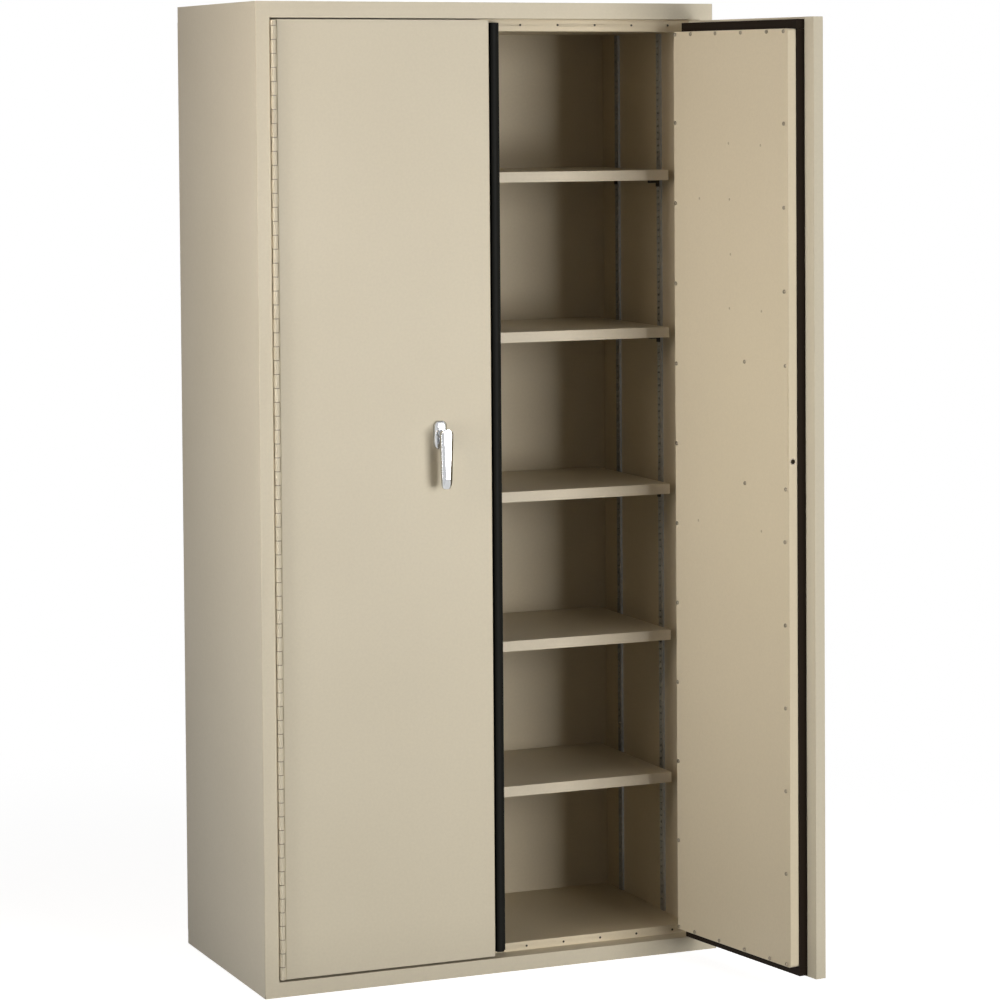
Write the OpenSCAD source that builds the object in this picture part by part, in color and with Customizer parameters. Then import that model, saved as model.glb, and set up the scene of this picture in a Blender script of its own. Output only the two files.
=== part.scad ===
// Two-door steel storage cabinet with insulated walls, five adjustable shelves and
// a lever lock. Origin at the middle of the footprint on the floor, +Z up, and the
// doors face -Y. The left door is drawn shut and the right door swung open.

/* [Cabinet] */
// Overall width
cabinet_w = 914.4; // [820:0.1:1020]
// Overall depth without the doors' hinge barrels
cabinet_d = 489; // [440:0.5:600]
// Overall height
cabinet_h = 1828.8; // [1700:0.1:2000]
// Thickness of the outer steel sheet
shell_t = 1.2; // [0.9:0.1:1.5]
// Radius of the outer folds
fold_r = 2; // [1.8:0.1:3]

/* [Front frame] */
// Width of each front stile
stile_w = 28; // [26:0.5:34]
// Height of the head rail and of the top cap's turned-down edge
cap_h = 30; // [26:0.5:36]
// Height of the sill rail and of the base pan
base_h = 28; // [25:0.5:32]
// Depth from the front face to the face the doors close against
rebate_d = 40; // [39:0.5:40.5]
// Depth of front left between the front corner and the top cap's side seam
ear_d = 13; // [8:0.5:20]

/* [Walls] */
// Side wall from its outer face to its inner face
side_wall = 40.2; // [39:0.1:44]
// Back wall from its outer face to its inner face
back_wall = 49.2; // [40:0.1:60]
// Ceiling from the top face to its inner face
ceiling_wall = 52.8; // [48:0.1:60]
// Floor from the underside to its inner face
floor_wall = 44.5; // [42:0.1:50]
// Thickness of the inner steel sheet
liner_t = 1; // [0.7:0.1:1.3]

/* [Door stops] */
// Thickness of the stop angles
stop_t = 1.5; // [1:0.1:2]
// Depth of the stop angles' inner leg
stop_leg = 4; // [3:0.5:4.5]
// Distance between the stop screws
stop_screw_pitch = 76.2; // [60:0.1:100]
// Diameter of the stop screws' heads
stop_screw_d = 4.4; // [3.6:0.1:6]
// Height of the stop screws' heads
stop_head_t = 0.8; // [0.5:0.1:1]

/* [Shelves] */
// Shelf fronts behind the cabinet's front face
shelf_setback = 83; // [70:1:100]
// Gap between the shelf and the back wall
shelf_back_gap = 3; // [2:0.5:8]
// Gap between each end of a shelf and the side wall
shelf_end_gap = 16.5; // [12.5:0.1:18]
// Height of the shelf's turned-down edges
shelf_edge_h = 20; // [14:0.5:26]
// Thickness of the shelf sheet
shelf_t = 1; // [0.8:0.1:1.5]
// Width of the folds under a shelf's edges
shelf_hem = 9; // [6:0.5:14]
// Start of the standards' half slots above the cabinet's floor
slot_foot = 4; // [2.5:0.1:6]
// Level of the lowest shelf, in half slots above their start
shelf_5_level = 42; // [30:1:56]
// Level of the next shelf up, in half slots above their start
shelf_4_level = 86; // [74:1:100]
// Level of the middle shelf, in half slots above their start
shelf_3_level = 131; // [118:1:146]
// Level of the next shelf up, in half slots above their start
shelf_2_level = 179; // [164:1:192]
// Level of the highest shelf, in half slots above their start
shelf_1_level = 227; // [212:1:236]

/* [Shelf standards] */
// Distance between the slots of a standard
slot_pitch = 12.7; // [12.5:0.1:13]
// Height of a slot
slot_h = 3.6; // [3.2:0.1:4.5]
// Width of a slot
slot_w = 8; // [6:0.5:10]
// Width of a standard
standard_w = 16; // [14:0.5:20]
// Depth of a standard off the wall
standard_d = 4.8; // [4:0.1:5.5]
// Standards in from the shelf's front and back edges
standard_inset = 75; // [50:1:100]
// Reach of a shelf clip under the shelf
clip_reach = 20; // [17:0.5:24]
// Width of a shelf clip
clip_w = 12; // [9:0.5:14]
// Height of a shelf clip
clip_h = 14; // [13:0.5:18]

/* [Hinges] */
// Diameter of the hinge barrel
barrel_d = 9.5; // [8.5:0.1:10]
// Diameter of the hinge pin
hinge_pin_d = 5.6; // [5:0.1:6]
// Hinge axis in front of the cabinet's front face
axis_out = 3; // [2:0.1:4]
// Hinge axis in from the stile's inner edge
axis_in = 5.2; // [5.1:0.1:6]
// Length of one knuckle
knuckle_len = 25.4; // [20:0.1:40]
// Length of the first knuckle at the top
top_knuckle_len = 10.5; // [8:0.1:20]
// Thickness of the hinge leaves
leaf_t = 1.4; // [1:0.1:1.6]
// Width of the hinge leaves behind the barrel
leaf_w = 17; // [12:0.5:18]

/* [Doors] */
// Angle that the right door stands open in the rest pose
right_door_angle = 98.5; // [60:0.5:140]
// Gap between the two closed doors
door_gap = 6; // [5:0.1:8]
// Gap above the doors
door_top_gap = 3; // [2.5:0.1:4]
// Gap below the doors
door_foot_gap = 4.5; // [3:0.1:6]
// Hinge axis to the hinge edge of a door
hinge_edge = 6.5; // [6.4:0.1:8]
// Thickness of the door's outer slab
slab_t = 22; // [21:0.5:24]
// Depth of the plug behind the slab
plug_d = 35; // [33:0.5:40]
// Radius of the slab's upright edges
slab_r = 2.4; // [2:0.1:4]
// Plug's hinge side clear of the inner wall
plug_hinge_gap = 2; // [1.5:0.5:5]
// Slab left bare beyond the right door's plug
right_plug_margin = 32; // [29:0.5:40]
// Slab left bare beyond the left door's plug
left_plug_margin = 10; // [9:0.5:12]
// Slab left bare above a plug
plug_top_margin = 21.5; // [20.5:0.5:26]
// Slab left bare below a plug
plug_foot_margin = 19.5; // [18.5:0.5:24]
// Corner radius of a plug
plug_r = 5; // [2:0.5:10]

/* [Door seals] */
// Gap between a shut door's seals and the heads of the stop screws
seal_gap = 0.4; // [0.3:0.1:1]
// Width of the seals at the top and bottom
seal_w = 16.7; // [12:0.1:18]
// Thickness of the seal on the right plug's free side
side_seal_t = 3; // [2:0.5:3.5]
// Width of that seal next to the slab
side_seal_w = 16.8; // [12:0.1:22]
// Reach of the centre seal past the middle of the cabinet
centre_seal_reach = 30; // [24:0.5:30]
// Width of the centre seal's rounded bead
bead_w = 14; // [10:0.5:15]

/* [Door screws] */
// Distance from a plug's free edge to its screws
screw_inset = 12.5; // [8:0.5:14]
// Distance from a plug's hinge edge to its screws
hinge_screw_inset = 5; // [4:0.5:12]
// Distance from a plug's top and bottom edges to its screws
row_inset = 5; // [4.5:0.5:10]
// Distance between the screws along a plug's upright edges
side_pitch = 153; // [120:0.5:160]
// Distance between the screws along a plug's top and bottom edges
row_pitch = 84.6; // [60:0.1:100]
// Diameter of the screw heads
screw_head_d = 6; // [5:0.1:7]
// Height of the screw heads
screw_head_t = 1.6; // [1:0.1:2]
// Diameter of the screw shanks
screw_shank_d = 3.4; // [2.5:0.1:4]
// Length of the screws under the head
screw_len = 7; // [5:0.5:7.5]

/* [Cover plates] */
// Thickness of a cover plate over the lock or the strike
cover_t = 1; // [0.8:0.1:1.6]
// Width of a cover plate
cover_w = 146; // [140:1:148]
// Height of a cover plate
cover_h = 239; // [220:1:250]
// Middle of the cover plates above the handle's axis
cover_up = 19; // [10:1:30]
// Gap between a cover plate and the plug's free edge
cover_edge = 3; // [2:0.5:5]
// Distance from a cover plate's edges to its screws
cover_inset = 6.5; // [5:0.5:8]
// Width of the rim around the opening that a cover plate hides
cover_lap = 14; // [12:0.5:20]

/* [Handle] */
// Height of the handle's axis above the floor
handle_z = 1028; // [960:1:1100]
// Handle's axis in from the left door's free edge
handle_inset = 104; // [102:0.5:110]
// Length of the lever below its axis
lever_len = 103; // [80:1:120]
// Width of the lever at its axis
lever_w = 24; // [20:0.5:26]
// Width of the lever at its tip
lever_tip_w = 18; // [14:0.5:20]
// Thickness of the lever at its axis
lever_t = 15; // [12:0.5:18]
// Thickness of the lever at its tip
lever_tip_t = 11; // [8:0.5:12]
// Front of the lever off the door
lever_out = 44; // [38:0.5:50]
// Part of the lever's length above its slanted end
lever_bend = 0.8; // [0.7:0.01:0.85]
// Depth of the lever's slanted end
lever_slant = 7; // [4:0.5:8]
// Diameter of the lever's neck
neck_d = 15; // [13:0.5:17]
// Width of the escutcheon
plate_w = 25.4; // [22:0.1:28]
// Escutcheon above the handle's axis
plate_up = 23.6; // [20:0.1:26]
// Escutcheon below the handle's axis
plate_down = 30; // [28:0.1:34]
// Thickness of the escutcheon
plate_t = 8; // [5:0.5:9]
// Radius of the escutcheon's corners
plate_r = 10; // [6:0.5:11]
// Diameter of the spindle
spindle_d = 10; // [8:0.5:11]

/* [Lock] */
// Lock's axis below the handle's axis
lock_drop = 19; // [18:0.5:20]
// Diameter of the lock barrel
lock_barrel_d = 14; // [12:0.5:15]
// Diameter of the turning lock plug
lock_plug_d = 10; // [8:0.5:11]
// Width of the key slot
key_slot_w = 2; // [1.2:0.1:2.6]
// Height of the key slot
key_slot_h = 7; // [5:0.5:7.5]
// Length of the lock's tongue from its axis
tongue_len = 22; // [21.5:0.1:22.4]
// Width of the tongue
tongue_w = 5; // [4:0.5:6]
// Thickness of the tongue
tongue_t = 3; // [2:0.1:3.4]

/* [Bolt work] */
// Teeth on the pinion
pinion_teeth = 16; // [14:2:16]
// Tooth module of the pinion and the racks
tooth_module = 2; // [2:0.1:2]
// Diameter of the top and bottom bolt rods
rod_d = 7; // [6:0.5:7]
// Depth of the rods' axes behind the slab's face
rod_depth = 46; // [45.8:0.1:46.2]
// Thickness of the rods' racks
rack_t = 7; // [6:0.5:7]
// Diameter of the side bolt's nose
nose_d = 8; // [7:0.5:8]
// Side bolt's nose below the handle's axis
nose_drop = 43; // [40:0.5:46]
// Rest tip of the side bolt short of the right plug's side
nose_back = 13; // [11:0.5:15]
// Clearance around a bolt in its hole
bolt_clear = 0.6; // [0.5:0.1:0.8]
// Thickness of the lock case's plates
case_t = 1.2; // [1:0.1:2]

/* [Hidden] */
$fn = 48;
beige = "#cfc3aa";
shade = "#b5a78e";
inside = "#bfb194";
board = "#d9d4c8";
black = "#24231f";
brown = "#3a2b1d";
steel = "#8d8f90";
bright = "#c9cccf";
// Space left between pieces of different bodies, and between a shaft and its bore
air = 0.3;
run = 0.05;
front_y = -cabinet_d / 2;
back_y = cabinet_d / 2;
half_w = cabinet_w / 2;
// Inner faces of the walls
in_x = half_w - side_wall;
in_y = back_y - back_wall;
ceil_z = cabinet_h - ceiling_wall;
floor_z = floor_wall;
jamb_x = half_w - stile_w;
head_z = cabinet_h - cap_h;
stop_y = front_y + rebate_d;
fill_y = stop_y + stop_leg + stop_t;
// Hinges
axis_x = jamb_x - axis_in;
axis_y = front_y - axis_out;
barrel_r = barrel_d / 2;
door_z0 = base_h + door_foot_gap;
door_z1 = head_z - door_top_gap;
hinge_z0 = door_z0 + 1;
hinge_z1 = door_z1 - 1;
first_joint = hinge_z1 - top_knuckle_len;
knuckles = 1 + ceil((first_joint - hinge_z0) / knuckle_len);
leaf_y0 = barrel_r + 0.5;
// Doors, in a frame with the hinge axis as its origin: x runs along the door to its
// free edge, y runs into the cabinet
slab_x0 = hinge_edge;
slab_x1 = axis_x - door_gap / 2;
slab_y0 = axis_out;
slab_y1 = slab_y0 + slab_t;
plug_y = slab_y1 + plug_d;
plug_x0 = axis_x - in_x + plug_hinge_gap;
plug_z0 = door_z0 + plug_foot_margin;
plug_z1 = door_z1 - plug_top_margin;
left_plug_x1 = slab_x1 - left_plug_margin;
right_plug_x1 = slab_x1 - right_plug_margin;
seal_y1 = stop_y - axis_y - stop_head_t - seal_gap;
seal_t = seal_y1 - slab_y1;
seal_off = 0.5;
cover_z = handle_z + cover_up;
cover_r = 3;
// Shelves and standards
shelf_y0 = front_y + shelf_setback;
shelf_y1 = in_y - shelf_back_gap;
shelf_x = in_x - shelf_end_gap;
half_slot = slot_pitch / 2;
slot_z = floor_z + slot_foot;
shelf_levels = [shelf_1_level, shelf_2_level, shelf_3_level, shelf_4_level, shelf_5_level];
standard_y = [shelf_y0 + standard_inset, shelf_y1 - standard_inset];
standard_end_gap = 2;
lug_drop = 4;
lug_side = 0.3;
lug_h = slot_h - 0.4;
lug_root = 1;
clip_back = 3;
// Handle, lock and bolt work, in the left door's frame
handle_x = slab_x1 - handle_inset;
pitch_r = pinion_teeth * tooth_module / 2;
root_r = pitch_r - 1.25 * tooth_module;
travel = pitch_r * PI / 2;
tooth_pitch = PI * tooth_module;
bar_w = 10;
bar_x = pitch_r + 1.25 * tooth_module;
rod_x = bar_x + bar_w / 2;
rod_y = slab_y0 + rod_depth;
rack_y0 = rod_y - rack_t / 2;
rack_y1 = rod_y + rack_t / 2;
rack_lead = 14;
side_lead = 10;
side_y0 = rack_y1 + 0.5;
side_y1 = side_y0 + 4;
nose_y = side_y0 - 1.5;
nose_z = handle_z - nose_drop;
lock_z = handle_z - lock_drop;
tongue_y1 = rack_y0 - 1;
tongue_y0 = tongue_y1 - tongue_t;
strap_y0 = tongue_y0 - 0.5;
notch_up = tongue_w / 2 + 0.8;
notch_down = 17;
notch_depth = 4.5;
strap_z0 = -lock_drop - notch_down - travel - 4;
strap_z1 = -lock_drop + notch_up + 5;
drop_x0 = bar_x + bar_w + 2;
drop_x1 = drop_x0 + 14;
case_y0 = strap_y0 - 2.5;
case_y1 = side_y1 + 1.5;
case_x0 = -travel - side_lead - 3;
case_x1 = drop_x1 + 6;
case_z0 = handle_z + strap_z0 - 3;
case_z1 = handle_z + bar_x + bar_w + 4;
room_x1 = drop_x1 + travel + 2;
room_z1 = handle_z + rack_lead + travel + 2;
hole_d = rod_d + 2 * bolt_clear;
nose_hole_d = nose_d + 2 * bolt_clear;
bush_t = 2;
keeper_w = 30;
keeper_t = 2;
pocket_depth = travel + 4;
guide_len = 12;
lock_front = plate_t + 1;
plug_front = lock_front + 0.4;
collar_t = 3;
collar_d = neck_d + 6;
nose_tip = 2 * axis_x - right_plug_x1 - nose_back;

// A block between two corners
module block(a, b) {
    translate(a) cube([b.x - a.x, b.y - a.y, b.z - a.z]);
}

// A round bar from a point, along X, Y or Z
module bar_x_to(p, len, d) {
    translate(p) rotate([0, 90, 0]) cylinder(h = len, d = d);
}
module bar_y_to(p, len, d) {
    translate(p) rotate([-90, 0, 0]) cylinder(h = len, d = d);
}
module bar_z_to(p, len, d) {
    translate(p) cylinder(h = len, d = d);
}

// A rectangle with round corners
module round_rect(x0, x1, y0, y1, r) {
    translate([x0 + r, y0]) square([x1 - x0 - 2 * r, y1 - y0]);
    translate([x0, y0 + r]) square([x1 - x0, y1 - y0 - 2 * r]);
    for (x = [x0 + r, x1 - r], y = [y0 + r, y1 - r])
        translate([x, y]) circle(r);
}

// An outline drawn in X and Z, made solid from y0 to y1
module upright(y0, y1) {
    translate([0, y1, 0]) rotate([90, 0, 0]) linear_extrude(y1 - y0) children();
}

// What a fold's outer radius takes off a square corner at the origin
module corner_cut(r) {
    difference() {
        translate([-1, -1]) square(r + 1);
        translate([r, r]) circle(r);
        translate([r, -2]) square(r + 2);
    }
}

module both_sides() {
    children();
    mirror([1, 0, 0]) children();
}

// Right-hand side panel seen from above: side, front stile and jamb in one folded sheet
module panel_section() {
    difference() {
        union() {
            translate([half_w - shell_t, front_y]) square([shell_t, cabinet_d]);
            translate([jamb_x, front_y]) square([stile_w, shell_t]);
            translate([jamb_x, front_y]) square([shell_t, rebate_d + stop_t]);
        }
        translate([half_w, front_y]) mirror([1, 0]) corner_cut(fold_r);
        translate([jamb_x, front_y]) corner_cut(fold_r);
        translate([half_w, back_y]) mirror([1, 0]) mirror([0, 1]) corner_cut(shell_t / 2);
    }
}

module side_panel() {
    difference() {
        translate([0, 0, base_h]) linear_extrude(cabinet_h - shell_t - base_h) panel_section();
        block([jamb_x + 2 * shell_t, front_y + ear_d, head_z],
            [half_w + 1, back_y + 1, cabinet_h]);
        block([jamb_x - 1, front_y + shell_t, head_z],
            [jamb_x + 3 * shell_t, front_y + ear_d + 1, cabinet_h]);
        block([jamb_x - 1, front_y + ear_d, head_z],
            [jamb_x + 3 * shell_t, front_y + rebate_d + stop_t + 1, cabinet_h]);
    }
}

module left_side_panel() color(shade) mirror([1, 0, 0]) side_panel();
module right_side_panel() color(shade) side_panel();

module head_rail() color(beige) {
    block([-jamb_x, front_y, head_z], [jamb_x, front_y + shell_t, cabinet_h - shell_t]);
    block([-jamb_x, front_y, head_z], [jamb_x, stop_y + stop_t, head_z + shell_t]);
}

module cap_outline() {
    round_rect(-half_w, half_w, front_y, back_y, fold_r);
}

module cap_inner() {
    translate([-half_w + shell_t, front_y + shell_t])
        square([cabinet_w - 2 * shell_t, cabinet_d - 2 * shell_t]);
}

module top_cap() color(beige) {
    translate([0, 0, cabinet_h - shell_t]) linear_extrude(shell_t) cap_outline();
    difference() {
        translate([0, 0, head_z]) linear_extrude(cap_h) difference() {
            cap_outline();
            cap_inner();
        }
        block([-half_w - 1, front_y - 1, head_z - 1],
            [half_w + 1, front_y + ear_d, cabinet_h - shell_t]);
    }
}

module base_pan() color(beige) {
    linear_extrude(shell_t) cap_outline();
    linear_extrude(base_h) difference() {
        cap_outline();
        cap_inner();
    }
    block([-jamb_x, front_y + shell_t / 2, base_h - shell_t],
        [jamb_x, stop_y + stop_t, base_h]);
}

module back_panel() color(shade)
    block([-half_w + shell_t, back_y - shell_t, base_h],
        [half_w - shell_t, back_y, head_z]);

// Door stops: angles whose wide leg faces the doors
function stop_places(span) = floor((span / 2 - 2 * stop_screw_d) / stop_screw_pitch);
side_stop_z = (floor_z + ceil_z) / 2;
side_places = stop_places(ceil_z - floor_z);
rail_places = stop_places(2 * in_x);
side_stop_x = (in_x + liner_t + jamb_x) / 2;
head_stop_z = (ceil_z + liner_t + head_z) / 2;
sill_stop_z = (floor_z - liner_t + base_h) / 2;
stop_hole_d = 3;

module side_stop() difference() {
    union() {
        block([in_x + liner_t, stop_y, floor_z - liner_t],
            [jamb_x, stop_y + stop_t, ceil_z + liner_t]);
        block([in_x + liner_t, stop_y, floor_z - liner_t],
            [in_x + liner_t + stop_t, stop_y + stop_t + stop_leg, ceil_z + liner_t]);
    }
    for (i = [-side_places : side_places])
        bar_y_to([side_stop_x, stop_y - 1, side_stop_z + i * stop_screw_pitch],
            stop_t + 2, stop_hole_d);
}

// Its inner leg is notched where a bolt rod passes
module rail_stop(edge_z, dir, face_z, screw_z, rod) difference() {
    union() {
        block([-jamb_x, stop_y, min(edge_z, face_z)],
            [jamb_x, stop_y + stop_t, max(edge_z, face_z)]);
        block([-in_x - liner_t, stop_y, min(edge_z, edge_z + dir * stop_t)],
            [in_x + liner_t, stop_y + stop_t + stop_leg, max(edge_z, edge_z + dir * stop_t)]);
    }
    for (i = [-rail_places : rail_places])
        bar_y_to([i * stop_screw_pitch, stop_y - 1, screw_z], stop_t + 2, stop_hole_d);
    bar_z_to([rod.x, rod.y, edge_z - 2 * stop_t], 4 * stop_t, hole_d);
}

module left_stop() color(inside) mirror([1, 0, 0]) side_stop();
module right_stop() color(inside) side_stop();
module head_stop() color(inside)
    rail_stop(ceil_z + liner_t, 1, head_z, head_stop_z, keeper_top);
module sill_stop() color(inside)
    rail_stop(floor_z - liner_t, -1, base_h, sill_stop_z, keeper_bottom);

module stop_screw(x, z) {
    bar_y_to([x, stop_y - stop_head_t, z], stop_head_t, stop_screw_d);
    bar_y_to([x, stop_y - 0.1, z], stop_t + 2, stop_hole_d);
}

module stop_screws() color(steel) {
    for (i = [-rail_places : rail_places], z = [head_stop_z, sill_stop_z])
        stop_screw(i * stop_screw_pitch, z);
    for (i = [-side_places : side_places], x = [-side_stop_x, side_stop_x])
        stop_screw(x, side_stop_z + i * stop_screw_pitch);
}

// Inner steel lining
module wall_liner()
    block([in_x, stop_y, floor_z], [in_x + liner_t, in_y + liner_t, ceil_z]);
module left_wall_liner() color(inside) mirror([1, 0, 0]) wall_liner();
module right_wall_liner() color(inside) wall_liner();
module back_wall_liner() color(inside)
    block([-in_x, in_y, floor_z], [in_x, in_y + liner_t, ceil_z]);

// Where the left door's bolt rods pass into the ceiling and the floor
keeper_top = [-axis_x + handle_x - rod_x, axis_y + rod_y];
keeper_bottom = [-axis_x + handle_x + rod_x, axis_y + rod_y];

module ceiling_liner() color(inside) difference() {
    block([-in_x - liner_t, stop_y, ceil_z],
        [in_x + liner_t, in_y + liner_t, ceil_z + liner_t]);
    bar_z_to([keeper_top.x, keeper_top.y, ceil_z - 1], liner_t + 2, hole_d);
}

module floor_liner() color(inside) difference() {
    block([-in_x - liner_t, stop_y, floor_z - liner_t],
        [in_x + liner_t, in_y + liner_t, floor_z]);
    bar_z_to([keeper_bottom.x, keeper_bottom.y, floor_z - liner_t - 1], liner_t + 2, hole_d);
}

module keeper(p, z0) difference() {
    block([p.x - keeper_w / 2, fill_y - stop_leg / 2, z0],
        [p.x + keeper_w / 2, fill_y + keeper_w, z0 + keeper_t]);
    bar_z_to([p.x, p.y, z0 - 1], keeper_t + 2, hole_d);
}

module bolt_keepers() color(steel) {
    keeper(keeper_top, ceil_z + liner_t + stop_t);
    keeper(keeper_bottom, floor_z - liner_t - stop_t - keeper_t);
}

// Insulation blocks between the outer panels and the lining
module wall_insulation() {
    block([in_x + liner_t, fill_y, floor_z - liner_t],
        [half_w - shell_t, in_y + liner_t, ceil_z + liner_t]);
    block([jamb_x + shell_t, front_y + shell_t, floor_z - liner_t],
        [half_w - shell_t, fill_y, ceil_z + liner_t]);
}
module left_wall_insulation() color(board) mirror([1, 0, 0]) wall_insulation();
module right_wall_insulation() color(board) wall_insulation();
module back_wall_insulation() color(board)
    block([-half_w + shell_t, in_y + liner_t, floor_z - liner_t],
        [half_w - shell_t, back_y - shell_t, ceil_z + liner_t]);

module keeper_pocket(p, z0, up) {
    step = up * (stop_t + keeper_t);
    block([p.x - keeper_w / 2, fill_y - 1, min(z0, z0 + step)],
        [p.x + keeper_w / 2, fill_y + keeper_w, max(z0, z0 + step)]);
    bar_z_to([p.x, p.y, min(z0, z0 + up * pocket_depth)], pocket_depth, hole_d);
}

module ceiling_insulation() color(board) difference() {
    block([-half_w + shell_t, fill_y, ceil_z + liner_t],
        [half_w - shell_t, back_y - shell_t, cabinet_h - shell_t]);
    keeper_pocket(keeper_top, ceil_z + liner_t, 1);
}
module floor_insulation() color(board) difference() {
    block([-half_w + shell_t, fill_y, shell_t],
        [half_w - shell_t, back_y - shell_t, floor_z - liner_t]);
    keeper_pocket(keeper_bottom, floor_z - liner_t, -1);
}

// Slotted standards, clips and shelves
slots = floor((ceil_z - slot_z - 8) / slot_pitch);

module slotted_web() difference() {
    translate([-standard_w / 2, floor_z + standard_end_gap])
        square([standard_w, ceil_z - floor_z - 2 * standard_end_gap]);
    for (i = [1 : slots])
        translate([-slot_w / 2, slot_z + i * slot_pitch - lug_drop - slot_h / 2])
            square([slot_w, slot_h]);
}

module standard(y) {
    translate([in_x - standard_d, y, 0]) rotate([90, 0, 90])
        linear_extrude(shell_t) slotted_web();
    for (side = [-1, 1])
        translate([in_x - standard_d / 2, y + side * (standard_w - shell_t) / 2, 0])
            block([-standard_d / 2, -shell_t / 2, floor_z + standard_end_gap],
                [standard_d / 2, shell_t / 2, ceil_z - standard_end_gap]);
}

module shelf_standards() color(bright)
    both_sides() for (y = standard_y) standard(y);

// A clip turned over holds its shelf half a slot higher
function ledge_z(level) = slot_z + level * half_slot;
function lug_z(level) = ledge_z(level) - lug_drop - (level % 2) * half_slot;

module clip(y, level) {
    face_x = in_x - standard_d;
    block([face_x - clip_reach, y - clip_w / 2, ledge_z(level) - clip_h / 2],
        [face_x, y + clip_w / 2, ledge_z(level)]);
    block([face_x - clip_back, y - clip_w / 2, ledge_z(level) - clip_h],
        [face_x, y + clip_w / 2, ledge_z(level)]);
    block([face_x - lug_root, y - slot_w / 2 + lug_side, lug_z(level) - lug_h / 2],
        [face_x + shell_t + lug_root, y + slot_w / 2 - lug_side, lug_z(level) + lug_h / 2]);
}

module shelf_clips() color(black)
    both_sides() for (y = standard_y, level = shelf_levels) clip(y, level);

module shelf(level) {
    z0 = ledge_z(level);
    z1 = z0 + shelf_edge_h;
    difference() {
        block([-shelf_x, shelf_y0, z0], [shelf_x, shelf_y1, z1]);
        block([-shelf_x + shelf_t, shelf_y0 + shelf_t, z0 + shelf_t],
            [shelf_x - shelf_t, shelf_y1 - shelf_t, z1 - shelf_t]);
        block([-shelf_x + shelf_hem, shelf_y0 + shelf_hem, z0 - 1],
            [shelf_x - shelf_hem, shelf_y1 - shelf_hem, z0 + 2 * shelf_t]);
    }
}

module shelf_1() color(inside) shelf(shelf_1_level);
module shelf_2() color(inside) shelf(shelf_2_level);
module shelf_3() color(inside) shelf(shelf_3_level);
module shelf_4() color(inside) shelf(shelf_4_level);
module shelf_5() color(inside) shelf(shelf_5_level);

// Places for what is drawn in a door's own frame
module in_left_door() translate([-axis_x, axis_y, 0]) children();
module in_right_door()
    translate([axis_x, axis_y, 0]) rotate([0, 0, right_door_angle]) mirror([1, 0, 0]) children();

// Continuous hinges: knuckles alternate between the frame's leaf and the door's leaf
function knuckle_top(i) = i == 0 ? hinge_z1 : first_joint - (i - 1) * knuckle_len;
function knuckle_low(i) = max(hinge_z0, first_joint - i * knuckle_len);

module hinge_leaf(first, edge) difference() {
    union() {
        block([edge - leaf_t, leaf_y0, hinge_z0], [edge, leaf_y0 + leaf_w, hinge_z1]);
        for (i = [first : 2 : knuckles - 1]) {
            bar_z_to([0, 0, knuckle_low(i) + air / 2],
                knuckle_top(i) - knuckle_low(i) - air, barrel_d);
            block([barrel_r - leaf_t, barrel_r / 2, knuckle_low(i) + air / 2],
                [edge, leaf_y0 + 1, knuckle_top(i) - air / 2]);
        }
    }
    bar_z_to([0, 0, hinge_z0 - 1], hinge_z1 - hinge_z0 + 2, hinge_pin_d + 2 * run);
}

module frame_leaf() translate([axis_x, axis_y, 0]) hinge_leaf(0, axis_in);
module left_hinge_frame_leaf() color(shade) mirror([1, 0, 0]) frame_leaf();
module right_hinge_frame_leaf() color(shade) frame_leaf();
module left_hinge_door_leaf() color(shade) in_left_door() hinge_leaf(1, hinge_edge);
module right_hinge_door_leaf() color(shade) in_right_door() hinge_leaf(1, hinge_edge);

module hinge_pins() color(steel)
    both_sides() bar_z_to([axis_x, axis_y, hinge_z0], hinge_z1 - hinge_z0, hinge_pin_d);

// Door skin: folded front sheet with turned edges and a rim around the plug
module slab_section(grow) {
    difference() {
        translate([slab_x0 + grow, slab_y0 + grow])
            square([slab_x1 - slab_x0 - 2 * grow, slab_t - 2 * grow]);
        translate([slab_x0 + grow, slab_y0 + grow]) corner_cut(slab_r - grow);
        translate([slab_x1 - grow, slab_y0 + grow]) mirror([1, 0]) corner_cut(slab_r - grow);
    }
}

module door_skin(plug_x1) difference() {
    translate([0, 0, door_z0]) linear_extrude(door_z1 - door_z0) slab_section(0);
    translate([0, 0, door_z0 + shell_t])
        linear_extrude(door_z1 - door_z0 - 2 * shell_t) slab_section(shell_t);
    upright(slab_y1 - 2 * shell_t, slab_y1 + 1)
        round_rect(plug_x0, plug_x1, plug_z0, plug_z1, plug_r);
}

module door_liner(plug_x1) difference() {
    upright(slab_y1 - shell_t, plug_y)
        round_rect(plug_x0, plug_x1, plug_z0, plug_z1, plug_r);
    upright(slab_y1 - 2 * shell_t, plug_y - liner_t)
        round_rect(plug_x0 + liner_t, plug_x1 - liner_t, plug_z0 + liner_t,
            plug_z1 - liner_t, plug_r - liner_t);
}

module door_block(plug_x1) {
    translate([0, 0, door_z0 + shell_t])
        linear_extrude(door_z1 - door_z0 - 2 * shell_t) slab_section(shell_t);
    upright(slab_y1 - 2 * shell_t, plug_y - liner_t)
        round_rect(plug_x0 + liner_t, plug_x1 - liner_t, plug_z0 + liner_t,
            plug_z1 - liner_t, plug_r - liner_t);
}

// Screw places around a plug: rows of even pitch from the middle, and the corners.
// The cover plate's own screws take the places beside it
function half_count(span, pitch) = round((span / 2 - pitch / 2) / pitch);
mid_z = (plug_z0 + plug_z1) / 2;
side_half = half_count(plug_z1 - plug_z0, side_pitch);
function beside_cover(z) = abs(z - cover_z) < cover_h / 2 + cover_inset;

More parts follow.
